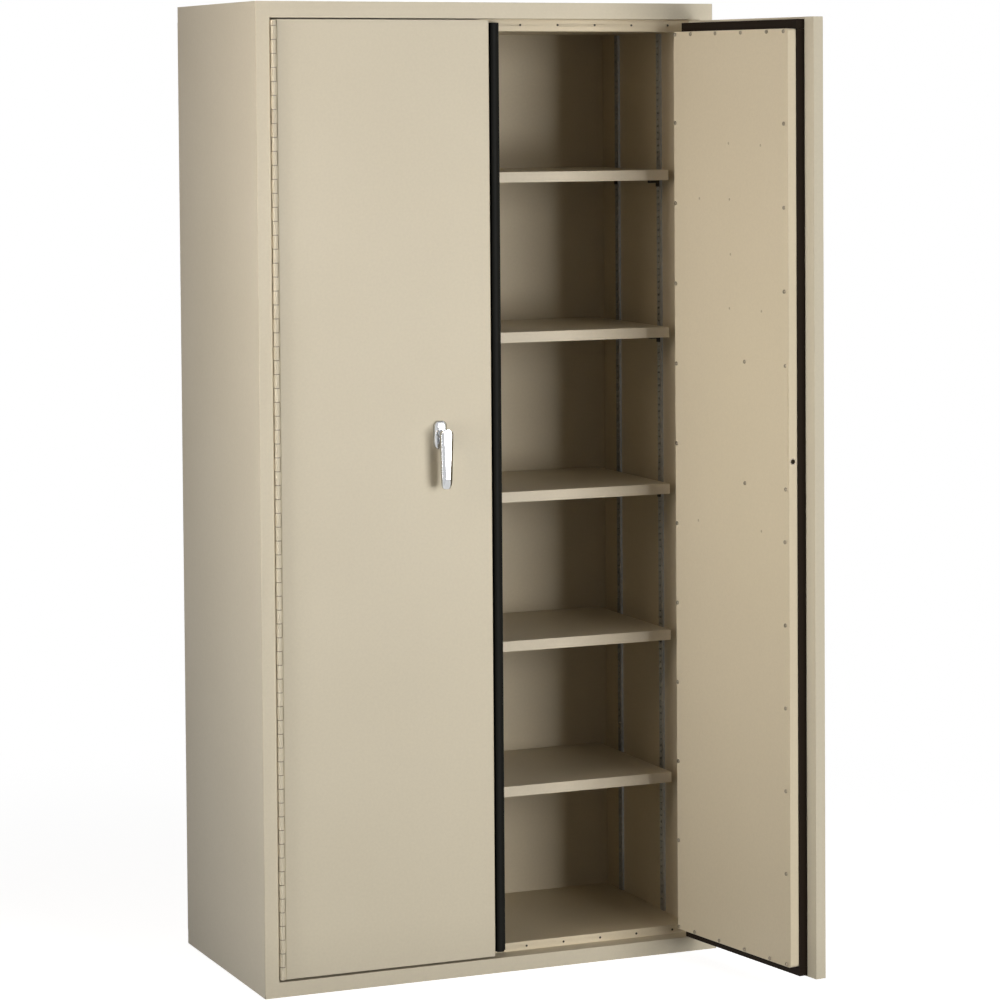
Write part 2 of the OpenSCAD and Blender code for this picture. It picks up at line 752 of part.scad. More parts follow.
module around_plug(plug_x1) {
    mid_x = (plug_x0 + hinge_screw_inset + plug_x1 - screw_inset) / 2;
    row_half = half_count(plug_x1 - plug_x0, row_pitch);
    for (x = [plug_x0 + hinge_screw_inset, plug_x1 - screw_inset]) {
        for (z = [plug_z0 + row_inset, plug_z1 - row_inset])
            translate([x, plug_y, z]) children();
        for (i = [0.5 - side_half : side_half - 0.5])
            if (x < mid_x || !beside_cover(mid_z + i * side_pitch))
                translate([x, plug_y, mid_z + i * side_pitch]) children();
    }
    for (i = [0.5 - row_half : row_half - 0.5], z = [plug_z0 + row_inset, plug_z1 - row_inset])
        translate([mid_x + i * row_pitch, plug_y, z]) children();
}

module shank(len) bar_y_to([0, -len, 0], len, screw_shank_d);
module liner_screw() {
    bar_y_to([0, 0, 0], screw_head_t, screw_head_d);
    bar_y_to([0, -screw_len, 0], screw_len + 0.2, screw_shank_d);
}

// A cover plate's outline, drawn in by inset, and its corner screws
module cover_outline(plug_x1, inset) {
    round_rect(plug_x1 - cover_edge - cover_w + inset, plug_x1 - cover_edge - inset,
        cover_z - cover_h / 2 + inset, cover_z + cover_h / 2 - inset, cover_r);
}

module at_cover_corners(plug_x1) {
    x1 = plug_x1 - cover_edge - cover_inset;
    for (x = [x1 - cover_w + 2 * cover_inset, x1],
        z = [cover_z - cover_h / 2 + cover_inset, cover_z + cover_h / 2 - cover_inset])
        translate([x, plug_y + cover_t, z]) children();
}

module cover_plate(plug_x1) difference() {
    upright(plug_y, plug_y + cover_t) cover_outline(plug_x1, 0);
    at_cover_corners(plug_x1) shank(screw_len);
}

module plug_screws(plug_x1) {
    around_plug(plug_x1) liner_screw();
    at_cover_corners(plug_x1) liner_screw();
}

module shank_holes(plug_x1) {
    around_plug(plug_x1) shank(screw_len);
    at_cover_corners(plug_x1) shank(screw_len);
}

// The liner's holes: its screws, and the opening under its cover plate
module liner_holes(plug_x1) {
    shank_holes(plug_x1);
    upright(plug_y - 2 * liner_t, plug_y + 1) cover_outline(plug_x1, cover_lap);
}

// Seals on the slab's inner face, above and below the plug
module slab_seals(end_x) {
    for (z = [plug_z0 - seal_w - seal_off, plug_z1 + seal_off])
        block([plug_x0, slab_y1, z], [end_x, seal_y1, z + seal_w]);
}

// Left door
// Room for the lock case, the rods and the side bolt
module bolt_room() {
    block([handle_x + case_x0, case_y0, case_z0], [handle_x + room_x1, plug_y, room_z1]);
    bar_z_to([handle_x - rod_x, rod_y, case_z1], plug_z1 - case_z1, hole_d + 2 * bush_t);
    bar_z_to([handle_x + rod_x, rod_y, plug_z0], case_z0 - plug_z0 + 1, hole_d + 2 * bush_t);
    bar_x_to([handle_x, nose_y, nose_z], left_plug_x1 - handle_x, nose_hole_d);
    bar_y_to([handle_x, 0, handle_z], case_y0 + 1, neck_d);
    bar_y_to([handle_x, 0, lock_z], case_y0 + 1, lock_barrel_d);
}

module left_door_skin() color(beige) in_left_door() difference() {
    door_skin(left_plug_x1);
    bar_y_to([handle_x, slab_y0 - 1, handle_z], 4, spindle_d + 2);
    bar_y_to([handle_x, slab_y0 - 1, lock_z], 4, lock_barrel_d);
}

module left_door_insulation() color(board) in_left_door() difference() {
    door_block(left_plug_x1);
    bolt_room();
    shank_holes(left_plug_x1);
}

module left_door_liner() color(inside) in_left_door() difference() {
    door_liner(left_plug_x1);
    for (z = [plug_z0, plug_z1], side = z == plug_z0 ? 1 : -1)
        bar_z_to([handle_x + side * rod_x, rod_y, z - 2], 4, hole_d + 2 * bush_t);
    bar_x_to([left_plug_x1 - 2, nose_y, nose_z], 4, nose_hole_d);
    liner_holes(left_plug_x1);
}

module left_liner_screws() color(steel) in_left_door()
    plug_screws(left_plug_x1);

module lock_cover() color(inside) in_left_door() cover_plate(left_plug_x1);

module left_door_seals() color(brown) in_left_door()
    slab_seals(left_plug_x1 - 2 * side_seal_t);

// Angle-shaped seal along the left plug's free side: its long leg closes the gap
// between the doors and carries a rounded bead that the right door presses on
seal_reach = axis_x + centre_seal_reach;
bead_edge = 6;
bead_x = seal_reach - bead_edge - bead_w / 2;
seal_foot = 8;
seal_leaf = 5;

module seal_section() {
    translate([left_plug_x1, seal_y1 - seal_leaf])
        square([seal_reach - left_plug_x1, seal_leaf]);
    translate([left_plug_x1, slab_y1]) square([seal_foot, seal_t]);
    intersection() {
        translate([bead_x - bead_w / 2, slab_y1 + air]) square([bead_w, seal_t - air]);
        translate([bead_x, slab_y1 + air + bead_w]) circle(bead_w, $fn = 96);
    }
}

module centre_seal() color(black) in_left_door() {
    translate([0, 0, door_z0 + 1]) linear_extrude(door_z1 - door_z0 - 5) seal_section();
    block([left_plug_x1, slab_y1 + 2, plug_z0],
        [left_plug_x1 + 3, nose_y - nose_hole_d / 2 - 1.5, plug_z1]);
}

module escutcheon() color(bright) in_left_door() difference() {
    union() {
        upright(slab_y0 - plate_t, slab_y0)
            round_rect(handle_x - plate_w / 2, handle_x + plate_w / 2,
                handle_z - plate_down, handle_z + plate_up, plate_r);
        bar_y_to([handle_x, slab_y0 - plate_t - collar_t, handle_z], collar_t + 0.2, collar_d);
    }
    bar_y_to([handle_x, slab_y0 - plate_t - collar_t - 1, handle_z], plate_t + collar_t + 2,
        spindle_d + 2 * run);
    bar_y_to([handle_x, slab_y0 - plate_t - 1, lock_z], plate_t + 2, lock_barrel_d);
}

module lock_barrel() color(bright) in_left_door() difference() {
    bar_y_to([handle_x, slab_y0 - lock_front, lock_z], lock_front + tongue_y0 - 0.5 - slab_y0,
        lock_barrel_d);
    bar_y_to([handle_x, slab_y0 - lock_front - 1, lock_z], lock_front + tongue_y0,
        lock_plug_d + 2 * run);
}

module lock_case() color(steel) in_left_door() translate([handle_x, 0, 0]) difference() {
    union() {
        block([case_x0, case_y0, case_z0], [case_x1, case_y0 + case_t, case_z1]);
        block([case_x0, case_y1 - case_t, case_z0], [case_x1, case_y1, case_z1]);
        block([case_x0, case_y0, case_z0], [case_x0 + case_t, case_y1, case_z1]);
    }
    bar_y_to([0, case_y0 - 1, handle_z], case_y1 - case_y0 + 2, spindle_d + 2 * run);
    bar_y_to([0, case_y0 - 1, lock_z], case_t + 2, lock_barrel_d);
}

module rod_guides() color(black) in_left_door()
    for (side = [-1, 1])
        translate([handle_x + side * rod_x, rod_y, side < 0 ? plug_z1 - guide_len : plug_z0])
            difference() {
                cylinder(h = guide_len, d = hole_d + 2 * bush_t);
                translate([0, 0, -1]) cylinder(h = guide_len + 2, d = rod_d + 2 * air);
            }

// Lever, drawn hanging straight down
module lever_outline() {
    tip_z = handle_z - lever_len + lever_tip_w / 2;
    translate([handle_x, handle_z]) circle(d = lever_w);
    polygon([[handle_x - lever_w / 2, handle_z], [handle_x + lever_w / 2, handle_z],
        [handle_x + lever_tip_w / 2, tip_z], [handle_x - lever_tip_w / 2, tip_z]]);
    translate([handle_x, tip_z]) circle(d = lever_tip_w);
}

module lever_profile() {
    front = slab_y0 - lever_out;
    end_z = handle_z - lever_len - 1;
    polygon([[front, handle_z + lever_w], [front, handle_z - lever_len * lever_bend],
        [front + lever_slant, end_z], [front + lever_slant + lever_tip_t / 2, end_z],
        [front + lever_slant + lever_tip_t / 2, handle_z - lever_len * lever_bend],
        [front + lever_t, handle_z - lever_w], [front + lever_t, handle_z + lever_w]]);
}

module lever_handle() color(bright) in_left_door() difference() {
    union() {
        intersection() {
            upright(slab_y0 - lever_out - 1, slab_y0) lever_outline();
            translate([handle_x - lever_w, 0, 0]) rotate([90, 0, 90])
                linear_extrude(2 * lever_w) lever_profile();
        }
        bar_y_to([handle_x, slab_y0 - lever_out + lever_t - 1, handle_z],
            lever_out - lever_t + 1 - plate_t - collar_t - air, neck_d);
    }
    bar_y_to([handle_x, slab_y0 - lever_out + lever_t, handle_z], lever_out, spindle_d);
}

module spindle() color(steel) in_left_door()
    bar_y_to([handle_x, slab_y0 - lever_out + lever_t, handle_z],
        case_y1 - slab_y0 + lever_out - lever_t, spindle_d);

// Pinion and racks with straight-sided teeth
tooth_tip_w = 0.26 * tooth_pitch;
tooth_root_w = 0.62 * tooth_pitch;

module tooth(height) {
    polygon([[-tooth_root_w / 2, -0.4], [tooth_root_w / 2, -0.4], [tooth_root_w / 2, 0],
        [tooth_tip_w / 2, height], [-tooth_tip_w / 2, height], [-tooth_root_w / 2, 0]]);
}

module drive_pinion() color(bright) in_left_door() difference() {
    upright(rack_y0, side_y1) translate([handle_x, handle_z]) {
        circle(root_r);
        for (i = [0 : pinion_teeth - 1])
            rotate((i + 0.5) * 360 / pinion_teeth) translate([0, root_r]) tooth(2 * tooth_module);
    }
    bar_y_to([handle_x, rack_y0 - 1, handle_z], side_y1 - rack_y0 + 2, spindle_d);
}

// A toothed bar along +X whose pitch line is y = 0 and whose teeth point to -Y; a tooth
// stands at x = 0
module rack_outline(x0, x1) {
    lo = ceil((x0 + tooth_root_w / 2) / tooth_pitch);
    hi = floor((x1 - tooth_root_w / 2) / tooth_pitch);
    translate([x0, 1.25 * tooth_module]) square([x1 - x0, bar_w]);
    for (i = [lo : hi])
        translate([i * tooth_pitch, 1.25 * tooth_module]) mirror([0, 1]) tooth(2 * tooth_module);
}

module top_bolt() color(steel) in_left_door() translate([handle_x, 0, handle_z]) {
    difference() {
        union() {
            upright(rack_y0, rack_y1) translate([-pitch_r, 0]) rotate(90)
                rack_outline(-travel - rack_lead, rack_lead);
            block([-bar_x - bar_w, strap_y0, strap_z0], [-bar_x, rack_y0, strap_z1]);
            block([-bar_x - bar_w, strap_y0, strap_z0],
                [-bar_x, rack_y1, -travel - rack_lead + 2]);
        }
        for (drop = [0, travel])
            block([-bar_x - notch_depth, strap_y0 - 1, -lock_drop - notch_down - drop],
                [-bar_x + 1, tongue_y1 + 0.5, -lock_drop + notch_up - drop]);
    }
    bar_z_to([-rod_x, rod_y, rack_lead - 1], plug_z1 - handle_z - rack_lead, rod_d);
}

module bottom_bolt() color(steel) in_left_door() translate([handle_x, 0, handle_z]) {
    upright(rack_y0, rack_y1) translate([pitch_r, 0]) rotate(-90)
        rack_outline(-travel - rack_lead, rack_lead);
    bar_z_to([rod_x, rod_y, plug_z0 + 1 - handle_z], handle_z - rack_lead - plug_z0, rod_d);
}

module side_bolt() color(steel) in_left_door() translate([handle_x, 0, handle_z]) {
    upright(side_y0, side_y1) translate([0, pitch_r])
        rack_outline(-travel - side_lead, drop_x1);
    block([drop_x0, side_y0, -nose_drop - nose_d / 2 - 1], [drop_x1, side_y1, bar_x + 2]);
    bar_x_to([drop_x0, nose_y, -nose_drop], nose_tip - handle_x - drop_x0, nose_d);
}

module lock_plug() color(bright) in_left_door() translate([handle_x, 0, lock_z])
    difference() {
        union() {
            bar_y_to([0, slab_y0 - plug_front, 0], plug_front + tongue_y1 - slab_y0, lock_plug_d);
            block([-tongue_w / 2, tongue_y0, -tongue_len], [tongue_w / 2, tongue_y1, 0]);
        }
        block([-key_slot_w / 2, slab_y0 - plug_front - 1, -key_slot_h / 2],
            [key_slot_w / 2, slab_y0, key_slot_h / 2]);
    }

// Right door
bush_len = 14;

module right_door_skin() color(beige) in_right_door() door_skin(right_plug_x1);

module right_door_insulation() color(board) in_right_door() difference() {
    door_block(right_plug_x1);
    bar_x_to([right_plug_x1 - bush_len - 10, nose_y, nose_z], bush_len + 12,
        nose_hole_d + 2 * bush_t);
    shank_holes(right_plug_x1);
}

module right_door_liner() color(inside) in_right_door() difference() {
    door_liner(right_plug_x1);
    bar_x_to([right_plug_x1 - 2, nose_y, nose_z], 4, nose_hole_d + 2 * bush_t);
    liner_holes(right_plug_x1);
}

module right_liner_screws() color(steel) in_right_door()
    plug_screws(right_plug_x1);

module strike_cover() color(inside) in_right_door() cover_plate(right_plug_x1);

module strike_bush() color(steel) in_right_door() difference() {
    bar_x_to([right_plug_x1 - bush_len, nose_y, nose_z], bush_len + 0.3, nose_hole_d + 2 * bush_t);
    bar_x_to([right_plug_x1 - bush_len - 1, nose_y, nose_z], bush_len + 3, nose_hole_d);
}

module right_door_seals() color(black) in_right_door() {
    slab_seals(right_plug_x1 + side_seal_t);
    block([right_plug_x1, slab_y1, plug_z0],
        [right_plug_x1 + side_seal_t, slab_y1 + side_seal_w, plug_z1]);
}

left_side_panel();
right_side_panel();
head_rail();
top_cap();
base_pan();
back_panel();
left_stop();
right_stop();
head_stop();
sill_stop();
stop_screws();
left_wall_liner();
right_wall_liner();
back_wall_liner();
ceiling_liner();
floor_liner();
left_wall_insulation();
right_wall_insulation();
back_wall_insulation();
ceiling_insulation();
floor_insulation();
shelf_standards();
shelf_clips();
shelf_1();
shelf_2();
shelf_3();
shelf_4();
shelf_5();
left_hinge_frame_leaf();
right_hinge_frame_leaf();
hinge_pins();
bolt_keepers();
left_door_skin();
left_door_insulation();
left_door_liner();
left_liner_screws();
left_door_seals();
centre_seal();
left_hinge_door_leaf();
lock_cover();
escutcheon();
lock_barrel();
lock_case();
rod_guides();
lever_handle();
spindle();
drive_pinion();
top_bolt();
bottom_bolt();
side_bolt();
lock_plug();
right_door_skin();
right_door_insulation();
right_door_liner();
right_liner_screws();
right_door_seals();
right_hinge_door_leaf();
strike_bush();
strike_cover();
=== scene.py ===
# The looks of a two-door steel storage cabinet, left door shut and right door open.
# Metres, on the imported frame: the floor is z = 0 and the doors face -Y.
from math import cos, pi, radians, sin

import bmesh
import bpy
from mathutils import Matrix, Vector


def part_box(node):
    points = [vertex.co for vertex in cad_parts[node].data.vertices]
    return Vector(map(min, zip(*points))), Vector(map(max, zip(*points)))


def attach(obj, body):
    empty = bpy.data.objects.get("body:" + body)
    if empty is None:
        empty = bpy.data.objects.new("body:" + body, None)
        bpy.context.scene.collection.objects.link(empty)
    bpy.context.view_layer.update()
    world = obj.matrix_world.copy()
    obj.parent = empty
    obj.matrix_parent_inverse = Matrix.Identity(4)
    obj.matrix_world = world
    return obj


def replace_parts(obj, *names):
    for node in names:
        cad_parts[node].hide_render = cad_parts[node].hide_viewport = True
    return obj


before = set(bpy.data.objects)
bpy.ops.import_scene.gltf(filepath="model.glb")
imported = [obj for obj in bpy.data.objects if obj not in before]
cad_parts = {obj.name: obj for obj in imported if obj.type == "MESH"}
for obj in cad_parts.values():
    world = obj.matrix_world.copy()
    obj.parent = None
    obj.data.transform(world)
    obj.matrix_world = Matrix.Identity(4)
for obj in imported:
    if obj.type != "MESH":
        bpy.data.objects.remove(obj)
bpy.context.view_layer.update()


# Outer body
# Side panels, head rail, top cap, base pan and back, folded from 1.2 mm sheet steel,
# welded and ground flush, and enamelled in one go.

def linear(hex_colour):
    """An sRGB hex colour as the linear values that a shader takes."""
    parts = [int(hex_colour[i:i + 2], 16) / 255 for i in (1, 3, 5)]
    return tuple(c / 12.92 if c <= 0.04045 else ((c + 0.055) / 1.055) ** 2.4
                 for c in parts) + (1.0,)


def add(tree, kind, inputs=(), **settings):
    """Adds a node; an input that is another node's socket is linked, others are set."""
    made = tree.nodes.new(kind)
    for key, value in settings.items():
        setattr(made, key, value)
    for key, value in dict(inputs).items():
        if isinstance(value, bpy.types.NodeSocket):
            tree.links.new(value, made.inputs[key])
        else:
            made.inputs[key].default_value = value
    return made


def material(name):
    """A new material with only its output, and the place of each point in metres."""
    made = bpy.data.materials.new(name)
    made.use_nodes = True
    made.node_tree.nodes.clear()
    tree = made.node_tree
    place = add(tree, "ShaderNodeTexCoord").outputs["Object"]
    return made, tree, place, add(tree, "ShaderNodeOutputMaterial")


def baked_enamel(name, colour, cloud, floor_shade=1.0):
    """Sprayed and baked enamel: satin, with the faint ripple called orange peel, and
    clouds where the coat is thinner. Painted shade darkens the last 120 mm above the floor."""
    made, tree, place, output = material(name)
    # Thickness of the coat wanders over about 300 mm
    wide = add(tree, "ShaderNodeTexNoise", {"Vector": place, "Scale": 1 / 0.3, "Detail": 3})
    coat = add(tree, "ShaderNodeMix", {"Factor": wide.outputs["Fac"], "A": linear(colour),
                                       "B": linear(cloud)}, data_type="RGBA")
    # Dust nibs in the coat, under 1 mm in life and drawn at 5 mm so that they show
    dust = add(tree, "ShaderNodeTexNoise", {"Vector": place, "Scale": 1 / 0.005, "Detail": 2})
    nibs = add(tree, "ShaderNodeMapRange", {"Value": dust.outputs["Fac"], "From Min": 0.3,
                                            "From Max": 0.7, "To Min": 0.98, "To Max": 1.015})
    # Painted shade: the colour is drawn darker over the last 120 mm above the floor
    height = add(tree, "ShaderNodeSeparateXYZ", {"Vector": place})
    low = add(tree, "ShaderNodeMapRange", {"Value": height.outputs["Z"], "From Min": 0.0,
                                           "From Max": 0.12, "To Min": floor_shade, "To Max": 1.0})
    nibs_and_floor_shade = add(tree, "ShaderNodeMath", {0: nibs.outputs[0], 1: low.outputs[0]},
                operation="MULTIPLY")
    tint = add(tree, "ShaderNodeVectorMath", {0: coat.outputs[2], "Scale": nibs_and_floor_shade.outputs[0]},
               operation="SCALE")
    # Orange peel: waves of 2 mm in life, drawn at 8 mm so that the gloss shows them
    peel = add(tree, "ShaderNodeTexNoise", {"Vector": place, "Scale": 1 / 0.008, "Detail": 1})
    relief = add(tree, "ShaderNodeBump", {"Height": peel.outputs["Fac"], "Strength": 0.08,
                                          "Distance": 0.0006})
    gloss = add(tree, "ShaderNodeMapRange", {"Value": wide.outputs["Fac"], "To Min": 0.4,
                                             "To Max": 0.5})
    paint = add(tree, "ShaderNodeBsdfPrincipled",
                {"Base Color": tint.outputs[0], "Roughness": gloss.outputs[0], "IOR": 1.5,
                 "Specular IOR Level": 0.25, "Normal": relief.outputs[0]})
    tree.links.new(paint.outputs[0], output.inputs["Surface"])
    return made


def finish(nodes, made):
    """Gives CAD nodes a material in the slots that they came with."""
    for name in nodes:
        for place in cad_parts[name].material_slots:
            place.material = made


def fold(nodes, radius):
    """Rounds the sharp edges of folded sheet, as the press brake leaves them."""
    for name in nodes:
        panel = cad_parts[name]
        weld = panel.modifiers.new("joined", "WELD")
        weld.merge_threshold = 0.00001
        edge = panel.modifiers.new("folded", "BEVEL")
        edge.width = radius
        edge.segments = 2
        edge.limit_method = "ANGLE"
        edge.angle_limit = radians(40)
        edge.harden_normals = True


# The last argument draws the enamel a tenth darker at the floor, as painted shade
body_enamel = baked_enamel("baked_enamel_on_sheet_steel", "#cec4ad", "#c9bfa8", 0.9)
finish(["left_side_panel", "right_side_panel", "head_rail", "top_cap", "base_pan",
        "back_panel"], body_enamel)
# Only the cap and the base keep a seam where their edges lie on the sides
fold(["top_cap", "base_pan", "back_panel"], 0.0005)


# Door stops and their screws
# Angles of 1.5 mm steel that the doors close against, held by small cross-recessed
# screws 76.2 mm apart. The screws are phosphated, so they show as dark dots.

lining_enamel = baked_enamel("baked_enamel_on_lining_steel", "#d3c6ab", "#cdc0a5")
stops = ["left_stop", "right_stop", "head_stop", "sill_stop"]
finish(stops, lining_enamel)
fold(stops, 0.0004)


def metal(name, colour, patch, rough, spot, metallic=1.0):
    """A metal whose surface treatment shows as soft patches of colour and gloss; spot is
    the patches' size in metres. Drawing lines of the sheet run upwards."""
    made, tree, place, output = material(name)
    bloom = add(tree, "ShaderNodeTexNoise", {"Vector": place, "Scale": 1 / spot, "Detail": 4})
    mixed = add(tree, "ShaderNodeMix", {"Factor": bloom.outputs["Fac"], "A": linear(colour),
                                        "B": linear(patch)}, data_type="RGBA")
    gloss = add(tree, "ShaderNodeMapRange", {"Value": bloom.outputs["Fac"],
                                             "To Min": rough - 0.08, "To Max": rough + 0.1})
    # Drawing lines 0.3 mm apart in life, drawn at 2 mm
    drawn = add(tree, "ShaderNodeMapping", {"Vector": place, "Scale": (500, 500, 20)})
    lines = add(tree, "ShaderNodeTexNoise", {"Vector": drawn.outputs[0], "Scale": 1.0})
    relief = add(tree, "ShaderNodeBump", {"Height": lines.outputs["Fac"], "Strength": 0.08,
                                          "Distance": 0.0003})
    skin = add(tree, "ShaderNodeBsdfPrincipled",
               {"Base Color": mixed.outputs[2], "Metallic": metallic,
                "Roughness": gloss.outputs[0], "Normal": relief.outputs[0]})
    tree.links.new(skin.outputs[0], output.inputs["Surface"])
    return made


# Phosphate and oil: a dark grey-brown with little shine
phosphated_steel = metal("phosphated_screw_steel", "#38322a", "#4a4339", 0.55, 0.004, 0.5)


def piece(name, body, made, mesh, smooth=40):
    """Turns a bmesh into a named piece that rides a body."""
    data = bpy.data.meshes.new(name)
    bmesh.ops.recalc_face_normals(mesh, faces=mesh.faces)
    mesh.to_mesh(data)
    mesh.free()
    data.materials.append(made)
    data.shade_smooth()
    data.set_sharp_from_angle(angle=radians(smooth))
    held = bpy.data.objects.new(name, data)
    bpy.context.scene.collection.objects.link(held)
    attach(held, body)
    return held


def turned(mesh, profile, place, count=16):
    """Turns a profile of (radius, height) about Z and sets it by place; gives its rings."""
    rings = []
    for radius, height in profile:
        steps = count if radius > 1e-6 else 1
        rings.append([mesh.verts.new(place @ Vector((radius * cos(2 * pi * i / count),
                                                     radius * sin(2 * pi * i / count),
                                                     height))) for i in range(steps)])
    for near, far in zip(rings, rings[1:]):
        for i in range(count):
            j = (i + 1) % count
            corners = [near[i % len(near)], near[j % len(near)], far[j % len(far)],
                       far[i % len(far)]]
            mesh.faces.new(list(dict.fromkeys(corners)))
    return rings


def screw(mesh, place, head, height, shank, length):
    """A pan-head screw with a cross recess; place puts its seat at z = 0, head up."""
    half = head / 2
    rings = turned(mesh, [(0, -length), (shank / 2, -length), (shank / 2, 0), (half, 0),
                          (half, height * 0.45), (half * 0.93, height * 0.75),
                          (half * 0.75, height)], place)
    reach, wide, deep = half * 0.55, half * 0.16, height * 0.6
    arm = [(wide, reach), (wide, wide), (reach, wide), (reach, -wide), (wide, -wide),
           (wide, -reach), (-wide, -reach), (-wide, -wide), (-reach, -wide),
           (-reach, wide), (-wide, wide), (-wide, reach)]
    top, floor = [[mesh.verts.new(place @ Vector((x, y, z))) for x, y in arm]
                  for z in (height, height - deep)]
    rim = []
    for loop in (rings[-1], top):
        for a, b in zip(loop, loop[1:] + loop[:1]):
            rim.append(mesh.edges.get((a, b)) or mesh.edges.new((a, b)))
    bmesh.ops.triangle_fill(mesh, use_beauty=True, edges=rim)
    for i in range(12):
        j = (i + 1) % 12
        mesh.faces.new((top[i], top[j], floor[j], floor[i]))
    mesh.faces.new(floor)


def solids(node):
    """Lowest and highest corner of each separate solid of a CAD node."""
    solid = bmesh.new()
    solid.from_mesh(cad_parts[node].data)
    bmesh.ops.remove_doubles(solid, verts=solid.verts, dist=1e-5)
    left = set(solid.verts)
    found = []
    while left:
        group, edge = [], [left.pop()]
        while edge:
            vert = edge.pop()
            group.append(vert.co.copy())
            for link in vert.link_edges:
                other = link.other_vert(vert)
                if other in left:
                    left.discard(other)
                    edge.append(other)
        found.append((Vector(map(min, zip(*group))), Vector(map(max, zip(*group)))))
    solid.free()
    return sorted(found, key=lambda box: (round(box[0].z, 4), round(box[0].x, 4)))


# Turns a shape made upright so that its top faces out of the doors
forwards = Matrix.Rotation(radians(90), 4, "X")
# Head across and high, shank across and long
STOP_SCREW = (0.0044, 0.0008, 0.003, 0.0024)

mesh = bmesh.new()
for low, high in solids("stop_screws"):
    seat = Vector(((low.x + high.x) / 2, low.y + STOP_SCREW[1], (low.z + high.z) / 2))
    screw(mesh, Matrix.Translation(seat) @ forwards, *STOP_SCREW)
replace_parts(piece("phosphated_stop_screws", "cabinet", phosphated_steel, mesh),
            "stop_screws")


# Head rail welds
# Beads of weld where the head rail's ends meet the sides, ground down to a crown of
# 0.1 mm and enamelled with the body, so that no seam shows there.

FRONT_Y = -0.2445
RAIL_END = 0.4292
BEAD_LEVELS = (1.7990, 1.8060, 1.8130, 1.8200, 1.8275)
# Millimetres: place across the bead, and how far it stands out of the front
BEAD = ((-1.7, -0.05), (-1.5, 0.02), (-0.8, 0.08), (0, 0.1), (0.8, 0.08), (1.5, 0.02),
        (1.7, -0.05))

mesh = bmesh.new()
for seam in (-RAIL_END, RAIL_END):
    lines = [[mesh.verts.new((seam + across / 1000, FRONT_Y - rise / 1000, z))
              for z in BEAD_LEVELS] for across, rise in BEAD]
    for one, other in zip(lines, lines[1:] + lines[:1]):
        for i in range(len(BEAD_LEVELS) - 1):
            mesh.faces.new((one[i], one[i + 1], other[i + 1], other[i]))
    for end in (0, -1):
        mesh.faces.new([line[end] for line in lines])
piece("ground_weld_beads", "cabinet", body_enamel, mesh)


# Lining
# Inner walls, back, ceiling and floor of 1 mm sheet steel, painted before they go in.

lining = ["left_wall_liner", "right_wall_liner", "back_wall_liner", "ceiling_liner",
          "floor_liner"]
finish(lining, lining_enamel)


# Insulation
# Cast gypsum and vermiculite between the outer and inner steel, poured wet and dried.

def cast_board(name):
    """Chalky off-white board with golden flakes of vermiculite, 2 to 4 mm across."""
    made, tree, place, output = material(name)
    flakes = add(tree, "ShaderNodeTexVoronoi", {"Vector": place, "Scale": 1 / 0.004})
    mask = add(tree, "ShaderNodeMapRange", {"Value": flakes.outputs["Distance"],
                                            "From Min": 0.18, "From Max": 0.3,
                                            "To Min": 1.0, "To Max": 0.0})
    mixed = add(tree, "ShaderNodeMix", {"Factor": mask.outputs[0], "A": linear("#d9d4c8"),
                                        "B": linear("#b39a63")}, data_type="RGBA")
    relief = add(tree, "ShaderNodeBump", {"Height": flakes.outputs["Distance"],
                                          "Strength": 0.4, "Distance": 0.0005})
    chalk = add(tree, "ShaderNodeBsdfPrincipled",
                {"Base Color": mixed.outputs[2], "Roughness": 0.92, "IOR": 1.52,
                 "Normal": relief.outputs[0]})
    tree.links.new(chalk.outputs[0], output.inputs["Surface"])
    return made


finish(["left_wall_insulation", "right_wall_insulation", "back_wall_insulation",
        "ceiling_insulation", "floor_insulation", "left_door_insulation",
        "right_door_insulation"], cast_board("cast_vermiculite_board"))


# Shelf standards and clips
# Slotted uprights of zinc-plated steel, screwed to the side walls, and black-oxide
# spring-steel clips whose lugs hook into the slots.

# Zinc: pale grey, with a dull bloom in patches of about 12 mm
zinc = metal("zinc_plated_sheet_steel", "#c3c5c6", "#a7aaad", 0.38, 0.012)
finish(["shelf_standards", "bolt_keepers"], zinc)
# Black oxide: near black and oily, browner where the shelves rub it
finish(["shelf_clips"], metal("black_oxide_spring_steel", "#1d1c1a", "#35322e", 0.42, 0.004,
                              0.6))
fold(["shelf_clips"], 0.0006)


# Shelves
# Five shelves of 1 mm sheet steel, all four edges folded down and under, enamelled like
# the doors.

shelves = ["shelf_1", "shelf_2", "shelf_3", "shelf_4", "shelf_5"]
finish(shelves, baked_enamel("baked_enamel_on_shelf_steel", "#cec3ad", "#c8bda7"))
fold(shelves, 0.0004)


# Hinges
# Continuous hinges of rolled steel, painted with the doors, on plain steel pins.

# The right hinge's pin; the left one mirrors it
AXIS = Vector((0.424, -0.2475, 0))

# Drawn a tenth darker at the floor, as painted shade, like the body's enamel
hinge_enamel = baked_enamel("baked_enamel_on_rolled_steel", "#cec4ad", "#c9bfa8", 0.9)
tree = hinge_enamel.node_tree
paint = next(node for node in tree.nodes if node.type == "BSDF_PRINCIPLED")
clean = paint.inputs["Base Color"].links[0].from_socket
place = add(tree, "ShaderNodeTexCoord").outputs["Object"]
# Painted shade darkens the joints between the knuckles, where the gaps lie in shadow. The
# joints are under 0.5 mm in life, and the shade is drawn about 1.6 mm high so that it shows.
KNUCKLE = 0.0254
TOP_KNUCKLE = 0.0105
KNUCKLE_REACH = 0.006
first_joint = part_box("hinge_pins")[1][2] - TOP_KNUCKLE
height = add(tree, "ShaderNodeSeparateXYZ", {"Vector": place})
drop = add(tree, "ShaderNodeMath", {0: height.outputs["Z"], 1: first_joint},
           operation="SUBTRACT")
nearest = add(tree, "ShaderNodeMath", {0: drop.outputs[0], 1: KNUCKLE / 2},
              operation="PINGPONG")
joint = add(tree, "ShaderNodeMapRange", {"Value": nearest.outputs[0], "From Min": 0.0005,
                                         "From Max": 0.0011, "To Min": 0.8, "To Max": 0.0})
